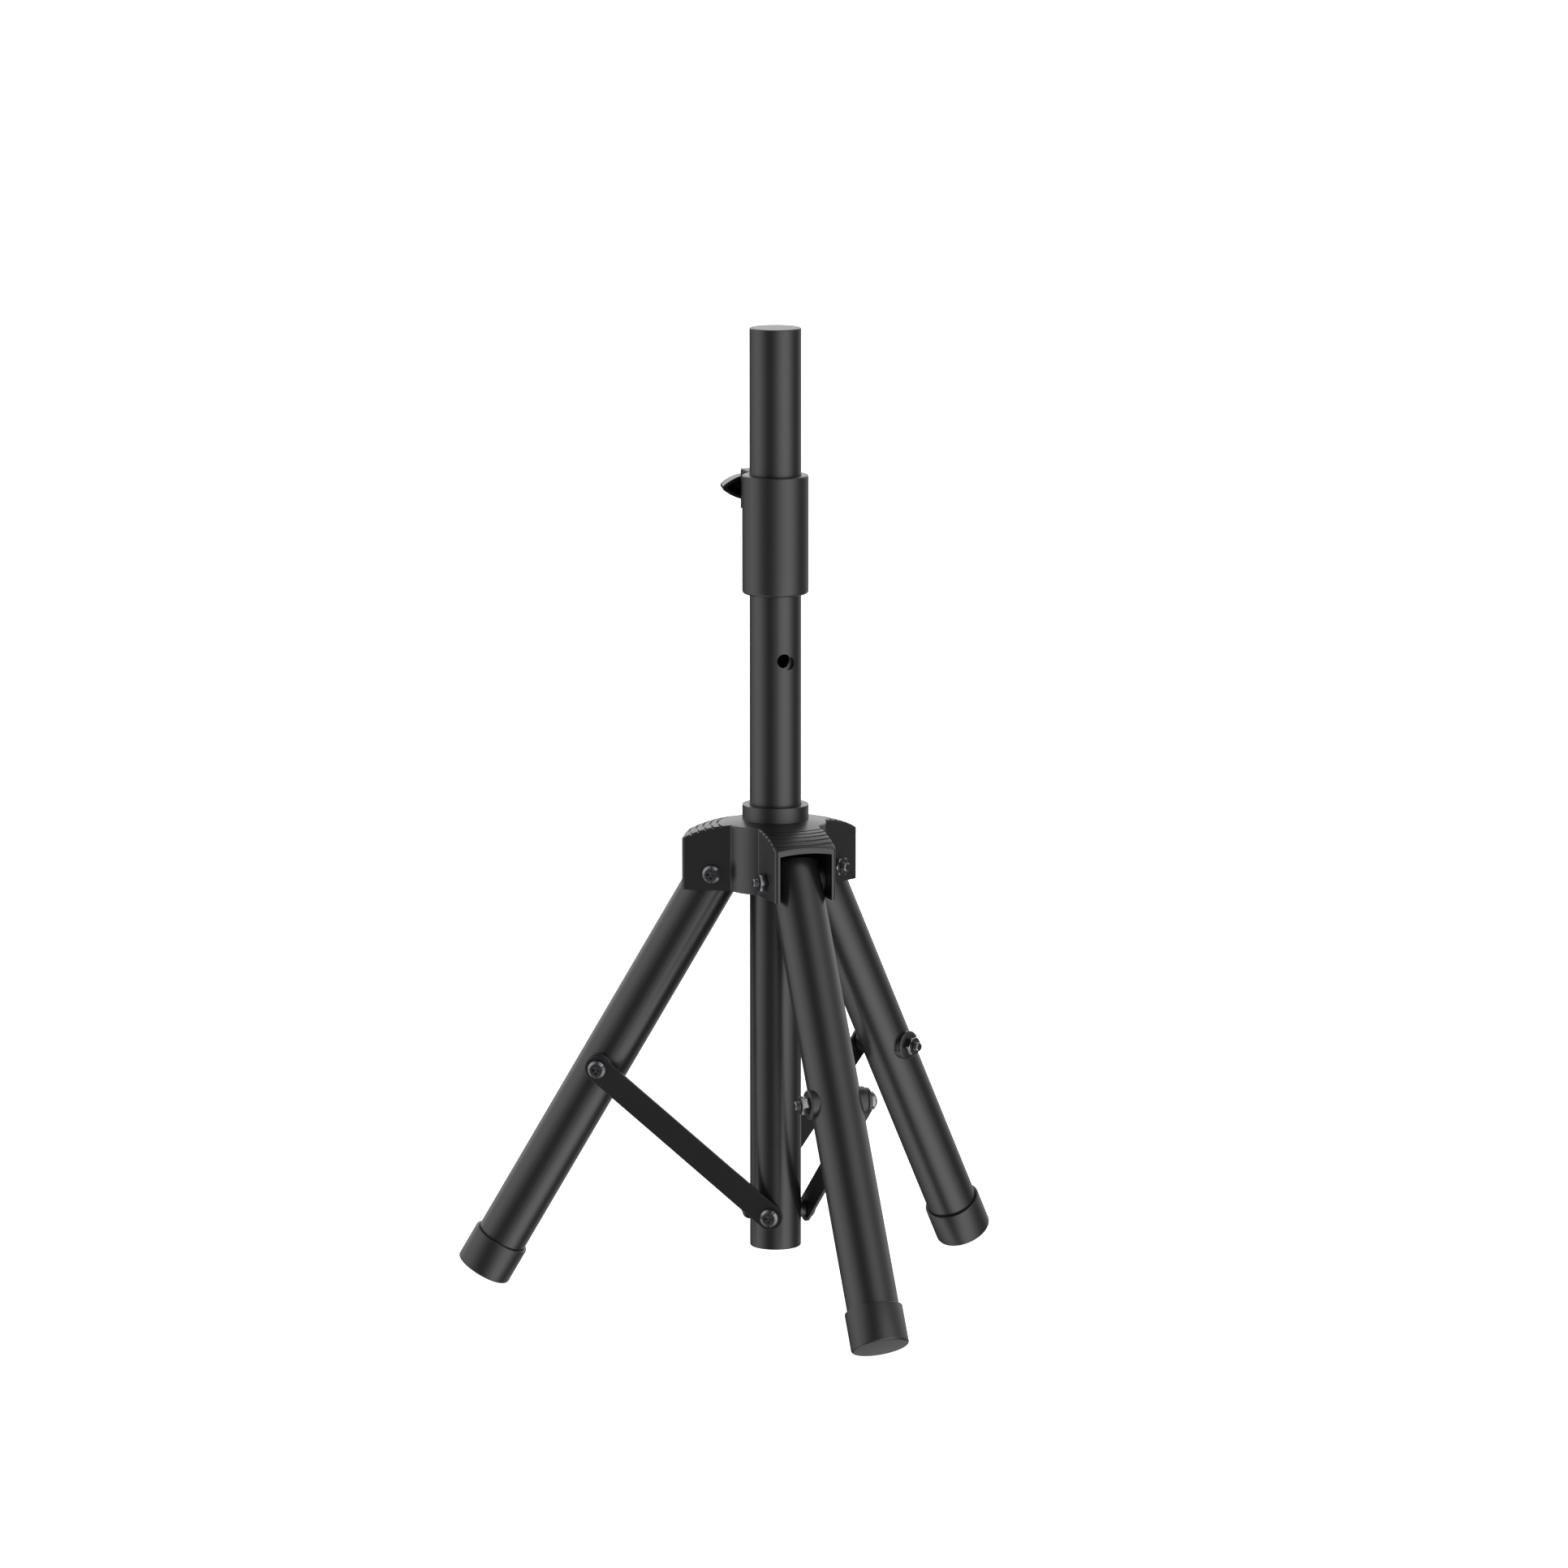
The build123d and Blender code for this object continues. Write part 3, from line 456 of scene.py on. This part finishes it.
def screw(name, shank, thread):
    """A pan-head screw standing on its seat, with a shank and some turns of thread."""
    start(bpy.ops.mesh.primitive_cylinder_add, name, vertices=64,
          radius=HEAD_RADIUS * MM, depth=HEAD_HEIGHT * MM,
          location=(0, 0, HEAD_HEIGHT / 2 * MM))
    pick("EDGE", lambda middle, edge: middle.z > HEAD_HEIGHT - 0.1)
    bpy.ops.mesh.bevel(offset=HEAD_CHAMFER * MM, segments=1, affect="EDGES")
    pick("FACE", lambda middle, face: face.normal.z < -0.9)
    bpy.ops.mesh.inset(thickness=(HEAD_RADIUS - SHANK_RADIUS) * MM)
    plain = shank - thread * THREAD_PITCH
    raise_face(-plain)
    for _ in range(thread):
        for share in (THREAD_ROOT, 1 / THREAD_ROOT):
            raise_face(-0.5 * THREAD_PITCH)
            bpy.ops.transform.resize(value=(share, share, 1))
    if thread:
        raise_face(-THREAD_END)
        bpy.ops.transform.resize(value=(0.8, 0.8, 1))
    piece = stop()
    cut(piece, cross_tool())
    bpy.ops.object.shade_smooth_by_angle(angle=math.radians(35))
    bench.append(piece)
    return piece


pivot_screw = screw("bench_pivot_screw", 51.8, 9)
strut_bolt = screw("bench_strut_bolt", 52.5, 9)
short_screw = screw("bench_short_screw", 2.5, 0)
print("screws:", [len(piece.data.polygons) for piece in bench], "faces")

# %% [markdown]
# A hexagon nut starts as a six-sided prism. Its corners are turned off on both
# faces at 30 degrees, which leaves the curved line on each flat. That is the
# common part of the prism and a disc with chamfered rims, so the nut is their
# intersection. The hole is a plain bore; the small bevel on every sharp edge
# softens its rim, which lights up round the thread.

# %% Hexagon nut
NUT_FLATS = 11.4
NUT_HEIGHT = 5.0
NUT_CORNER = 0.18
NUT_CHAMFER = 0.95
NUT_DROP = 0.55
NUT_EDGE = 0.14
HOLE_RADIUS = SHANK_RADIUS + 0.05


def nut(name):
    """A hexagon nut that hangs below its seat, with corners turned off."""
    across = NUT_FLATS / math.cos(math.pi / 6)
    start(bpy.ops.mesh.primitive_cylinder_add, name, vertices=6, radius=across / 2 * MM,
          depth=NUT_HEIGHT * MM, location=(0, 0, -NUT_HEIGHT / 2 * MM),
          rotation=(0, 0, math.pi / 2))
    pick("EDGE", lambda middle, edge: -NUT_HEIGHT + 0.1 < middle.z < -0.1)
    bpy.ops.mesh.bevel(offset=NUT_CORNER * MM, segments=2, affect="EDGES")
    prism = stop()
    rim = across / 2 * 1.01
    start(bpy.ops.mesh.primitive_cylinder_add, "turned", vertices=96, radius=rim * MM,
          depth=NUT_HEIGHT * MM, location=(0, 0, -NUT_HEIGHT / 2 * MM))
    pick("FACE", lambda middle, face: abs(face.normal.z) > 0.9)
    bpy.ops.mesh.inset(thickness=NUT_CHAMFER * MM, use_individual=True)
    pick("EDGE", lambda middle, edge: abs(edge.verts[0].co.z - edge.verts[1].co.z) < 1e-7
         and all(abs(off_axis(v) - rim) < 0.05 for v in edge.verts))
    bpy.ops.transform.resize(value=(1, 1, 1 - 2 * NUT_DROP / NUT_HEIGHT),
                             center_override=(0, 0, -NUT_HEIGHT / 2 * MM))
    cut(prism, stop(), "INTERSECT")
    start(bpy.ops.mesh.primitive_cylinder_add, "hole", vertices=64, radius=HOLE_RADIUS * MM,
          depth=(NUT_HEIGHT + 2) * MM, location=(0, 0, -NUT_HEIGHT / 2 * MM))
    cut(prism, stop())
    apply(prism, "BEVEL", width=NUT_EDGE * MM, segments=2, angle_limit=math.radians(24))
    bpy.ops.object.shade_smooth_by_angle(angle=math.radians(35))
    bench.append(prism)
    return prism


hex_nut = nut("bench_hex_nut")
print("nut:", len(hex_nut.data.polygons), "faces")

# %% [markdown]
# A saddle is a thick moulded washer. One face is flat, for the strut or the nut,
# and the other is hollowed to the round leg so it can't turn. A disc with a soft
# rim and a low step is cut with the leg's own cylinder, at the leg's slope.

# %% Saddle
SADDLE_RADIUS = 10.0
LEG_RADIUS = 17.5
SADDLE_FACE = LEG_RADIUS + 3.0
SADDLE_START = 12.0
SADDLE_STEP = 1.5
SADDLE_DROP = 0.5
SADDLE_EDGE = 0.45


def saddle(name):
    """A disc whose face is 3 mm off the leg, hollowed to sit on the leg's side."""
    start(bpy.ops.mesh.primitive_cylinder_add, name, vertices=96,
          radius=SADDLE_RADIUS * MM, depth=(SADDLE_FACE - SADDLE_START) * MM,
          location=(0, 0, (SADDLE_FACE + SADDLE_START) / 2 * MM))
    pick("FACE", lambda middle, face: face.normal.z > 0.9)
    bpy.ops.mesh.inset(thickness=SADDLE_STEP * MM)
    pick("EDGE", lambda middle, edge: all(off_axis(v) > SADDLE_RADIUS - 0.1
                                          and v.co.z / MM > SADDLE_FACE - 0.1 for v in edge.verts))
    bpy.ops.transform.translate(value=(0, 0, -SADDLE_DROP * MM))
    pick("EDGE", lambda middle, edge: all(off_axis(v) > SADDLE_RADIUS - 0.1
                                          and v.co.z / MM > SADDLE_FACE - SADDLE_DROP - 0.1
                                          for v in edge.verts))
    bpy.ops.mesh.bevel(offset=SADDLE_EDGE * MM, segments=3, affect="EDGES")
    piece = stop()
    along = Vector((math.sin(LEG_ANGLE), math.cos(LEG_ANGLE), 0))
    start(bpy.ops.mesh.primitive_cylinder_add, "leg", vertices=160,
          radius=(LEG_RADIUS + 0.02) * MM, depth=80 * MM)
    leg = stop()
    leg.rotation_euler = along.to_track_quat("Z", "Y").to_euler()
    bpy.ops.object.transform_apply(location=True, rotation=True, scale=True)
    cut(piece, leg)
    start(bpy.ops.mesh.primitive_cylinder_add, "hole", vertices=48,
          radius=HOLE_RADIUS * MM, depth=60 * MM)
    cut(piece, stop())
    bpy.ops.object.shade_smooth_by_angle(angle=math.radians(30))
    bench.append(piece)
    return piece


leg_saddle = saddle("bench_saddle")
print("saddle:", len(leg_saddle.data.polygons), "faces")

# %% [markdown]
# A strut is a flat steel bar with round ends, sheared and then tumbled, so its
# edges are rounded by a few tenths. It starts as a disc: half of the rim is
# moved to the far joint, and the outline is then extruded to the bar's thickness.

# %% Strut bar
LEG_REACH = 330.6
STRUT_LENGTH = LEG_REACH * 0.47005
STRUT_WIDTH = 17.8
STRUT_THICKNESS = 2.5
STRUT_EDGE = 0.4


def strut(name):
    """A flat bar from the leg's joint at the origin to the tube's joint along +X."""
    start(bpy.ops.mesh.primitive_circle_add, name, vertices=96,
          radius=STRUT_WIDTH / 2 * MM, fill_type="NGON", rotation=(0, 0, math.pi / 96))
    pick("EDGE", lambda middle, edge: all(v.co.x > 0 for v in edge.verts))
    bpy.ops.transform.translate(value=(STRUT_LENGTH * MM, 0, 0))
    bpy.ops.mesh.select_all(action="SELECT")
    raise_face(STRUT_THICKNESS)
    piece = stop()
    apply(piece, "BEVEL", width=STRUT_EDGE * MM, segments=3, angle_limit=math.radians(40))
    bpy.ops.object.shade_smooth_by_angle(angle=math.radians(30))
    bench.append(piece)
    return piece


strut_bar = strut("bench_strut")
print("strut:", [round(v / MM, 2) for v in strut_bar.dimensions], "mm")

# %% [markdown]
# A foot cap is a thick moulded cup pushed over the leg's end. It is a cylinder
# whose top face is inset and pushed down, which leaves the wall and the sole.
# The mouth's rim is rounded a little and the sole's edge more, as moulds are.

# %% Foot cap
FOOT_RADIUS = 19.5
FOOT_LENGTH = 26.6
FOOT_SOLE = 4.0
FOOT_SOLE_EDGE = 1.5
FOOT_GAP = 0.06
FOOT_OUTER_LIP = 0.7
FOOT_INNER_LIP = 0.5


def foot(name):
    """A cup that stands on its sole at the origin, mouth up."""
    start(bpy.ops.mesh.primitive_cylinder_add, name, vertices=128, radius=FOOT_RADIUS * MM,
          depth=FOOT_LENGTH * MM, location=(0, 0, FOOT_LENGTH / 2 * MM))
    pick("EDGE", lambda middle, edge: middle.z < 0.1)
    bpy.ops.mesh.bevel(offset=FOOT_SOLE_EDGE * MM, segments=6, affect="EDGES")
    pick("FACE", lambda middle, face: face.normal.z > 0.9)
    bpy.ops.mesh.inset(thickness=(FOOT_RADIUS - LEG_RADIUS - FOOT_GAP) * MM)
    raise_face(FOOT_SOLE - FOOT_LENGTH)
    pick("EDGE", lambda middle, edge: all(v.co.z / MM > FOOT_LENGTH - 0.1
                                          and off_axis(v) > FOOT_RADIUS - 0.1 for v in edge.verts))
    bpy.ops.mesh.bevel(offset=FOOT_OUTER_LIP * MM, segments=4, affect="EDGES")
    pick("EDGE", lambda middle, edge: all(v.co.z / MM > FOOT_LENGTH - 0.1
                                          and off_axis(v) < LEG_RADIUS + 0.2 for v in edge.verts))
    bpy.ops.mesh.bevel(offset=FOOT_INNER_LIP * MM, segments=3, affect="EDGES")
    piece = stop()
    bench.append(piece)
    return piece


foot_cap = foot("bench_foot")
print("foot cap:", len(foot_cap.data.polygons), "faces")

# %% [markdown]
# The wing knob is a moulded shell, open towards the pole, with a stem inside for
# the clamp screw. Its outline is a lens: the common part of two big discs. So
# two discs are intersected, the tips are rounded and the far face is drawn in
# as a mould needs. A smaller lens hollows it, and the stem is then joined on.

# %% Wing knob
KNOB_LENGTH = 46.3
KNOB_HEIGHT = 18.4
KNOB_DEPTH = 18.0
KNOB_TAPER = 0.81
KNOB_WALL = 2.0
KNOB_TIP = 1.5
KNOB_RIM = 1.0
KNOB_EDGE = 0.25
STEM_RADIUS = 7.0
STEM_WALL = 2.9


def lens_block(name, length, height, depth, taper, tip):
    """A lens-shaped block that stands on the bench and draws in towards its top."""
    rise = height / 2
    radius = (length ** 2 / 4 + rise ** 2) / (2 * rise)
    discs = []
    for side in (-1, 1):
        start(bpy.ops.mesh.primitive_cylinder_add, name, vertices=360, radius=radius * MM,
              depth=depth * MM, location=(0, side * (radius - rise) * MM, depth / 2 * MM))
        discs.append(stop())
    cut(discs[0], discs[1], "INTERSECT")
    bpy.ops.object.mode_set(mode="EDIT")
    for side in (-1, 1):
        bpy.ops.mesh.select_all(action="SELECT")
        bpy.ops.mesh.bisect(plane_co=(side * (length / 2 - tip) * MM, 0, 0), plane_no=(side, 0, 0),
                            use_fill=True, clear_outer=True)
    pick("EDGE", lambda middle, edge: abs(middle.x) > length / 2 - tip - 0.01
         and abs(middle.z - depth / 2) < 0.1)
    bpy.ops.mesh.bevel(offset=0.6 * tip * MM, segments=4, affect="EDGES", clamp_overlap=True)
    pick("FACE", lambda middle, face: face.normal.z > 0.9)
    bpy.ops.transform.resize(value=(taper, taper, 1), center_override=(0, 0, depth * MM))
    return stop()


def knob(name):
    """A hollow wing knob, open at the bench, with its stem."""
    shell = lens_block(name, KNOB_LENGTH + KNOB_TIP, KNOB_HEIGHT, KNOB_DEPTH,
                       KNOB_TAPER, KNOB_TIP)
    bpy.ops.object.mode_set(mode="EDIT")
    pick("EDGE", lambda middle, edge: all(v.co.z / MM > KNOB_DEPTH - 0.05 for v in edge.verts))
    bpy.ops.mesh.bevel(offset=KNOB_RIM * MM, segments=5, affect="EDGES", clamp_overlap=True)
    stop()
    hollow = lens_block("hollow", KNOB_LENGTH - 3 * KNOB_WALL,
                        KNOB_HEIGHT - 2 * KNOB_WALL, KNOB_DEPTH - KNOB_WALL,
                        KNOB_TAPER, KNOB_TIP / 2)
    hollow.location.z = -0.01 * MM
    cut(shell, hollow)
    start(bpy.ops.mesh.primitive_cylinder_add, "stem", vertices=64, radius=STEM_RADIUS * MM,
          depth=(KNOB_DEPTH - 1) * MM, location=(0, 0, (KNOB_DEPTH - 1) / 2 * MM))
    pick("FACE", lambda middle, face: face.normal.z < -0.9)
    bpy.ops.mesh.inset(thickness=STEM_WALL * MM)
    raise_face(KNOB_DEPTH - KNOB_WALL)
    cut(shell, stop(), "UNION")
    apply(shell, "BEVEL", width=KNOB_EDGE * MM, segments=2, angle_limit=math.radians(50))
    bpy.ops.object.shade_smooth_by_angle(angle=math.radians(30))
    bench.append(shell)
    return shell


wing_knob = knob("bench_knob")
print("knob:", len(wing_knob.data.polygons), "faces")

# %% [markdown]
# Now the bench pieces go to their places. Each takes the body of the CAD node
# that it stands for, so it turns and slides with the joints as that node does.

# %% Fasteners and saddles on the legs
HUB_SIDE = 21.7
STRUT_INNER = 20.8
STRUT_OUTER = 23.3
HEAD_GAP = 0.3
TUBE_JOINT = Vector((0, 0, 0.058967))
alongside = Vector((math.sin(LEG_ANGLE), math.cos(LEG_ANGLE), 0))


def lift(height):
    """A step along the bolt's direction, in millimetres."""
    return Matrix.Translation((0, 0, height * MM))


for number in LEG_AZIMUTHS:
    leg, bar = f"leg_{number}", f"strut_{number}"
    pivot = side_matrix(number, point(f"leg_{number}_fold"))
    joint = side_matrix(number, point(f"strut_{number}_fold"))
    lower = side_matrix(number, TUBE_JOINT)
    over = Matrix.Rotation(math.pi, 4, alongside)
    place(pivot_screw, f"pivot_screw_{number}", pivot @ lift(HUB_SIDE),
          black_zinc, "hub", ["leg_pivot_bolts"])
    place(hex_nut, f"pivot_nut_{number}", pivot @ lift(-HUB_SIDE),
          black_zinc, "hub", ["leg_pivot_nuts"])
    place(strut_bolt, f"strut_screw_upper_{number}", joint @ lift(STRUT_OUTER + HEAD_GAP),
          black_zinc, leg, [f"strut_bolt_{number}"])
    place(hex_nut, f"strut_hex_nut_{number}", joint @ lift(-SADDLE_FACE),
          black_zinc, leg, [f"strut_nut_{number}"])
    place(leg_saddle, f"saddle_strut_side_{number}", joint,
          nylon, leg, [f"strut_saddle_{number}"])
    place(leg_saddle, f"saddle_nut_side_{number}", joint @ over,
          nylon, leg, [f"nut_saddle_{number}"])
    place(short_screw, f"strut_screw_lower_{number}", lower @ lift(STRUT_OUTER),
          black_zinc, bar, [f"strut_screw_{number}"])
print("fasteners placed:", 7 * len(LEG_AZIMUTHS))

# %% [markdown]
# Each strut runs from its joint on the leg to its joint on the centre tube. The
# swing is the angle of that line in the leg's side plane. A foot cap stands on
# the leg's axis, with its sole at the leg's full reach from the pivot.

# %% Struts and foot caps
for number in LEG_AZIMUTHS:
    joint = side_matrix(number, point(f"strut_{number}_fold"))
    end = joint.inverted() @ TUBE_JOINT
    swing = Matrix.Rotation(math.atan2(end.y, end.x), 4, "Z")
    place(strut_bar, f"flat_strut_{number}", joint @ lift(STRUT_INNER) @ swing,
          powder_coat, f"strut_{number}", [f"strut_bar_{number}"])
    pivot = side_matrix(number, point(f"leg_{number}_fold"))
    down = (pivot.to_3x3() @ alongside).normalized()
    hinge = pivot.to_3x3() @ Vector((0, 0, 1))
    frame_axes = Matrix((hinge, (-down).cross(hinge), -down)).transposed().to_4x4()
    sole = point(f"leg_{number}_fold") + down * LEG_REACH * MM
    place(foot_cap, f"cap_on_foot_{number}", Matrix.Translation(sole) @ frame_axes,
          rubber, f"leg_{number}", [f"foot_cap_{number}"])
print("struts and foot caps placed")

# %% [markdown]
# Both knobs are the same piece. Each stands where its CAD node stands, so its
# place comes from that node's box, and its open side faces the pole.

# %% Knobs
for node, body in (("clamp_knob", "clamp_handle"), ("lock_knob", "lock_handle")):
    low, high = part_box(node)
    middle = (low + high) / 2
    upright = Matrix(((1, 0, 0), (0, 0, 1), (0, -1, 0))).to_4x4()
    place(wing_knob, f"wing_{node}", Matrix.Translation((middle.x, low.y, middle.z)) @ upright,
          nylon, body, [node])
for piece in bench:
    bpy.data.objects.remove(piece)
print("knobs placed, bench cleared")
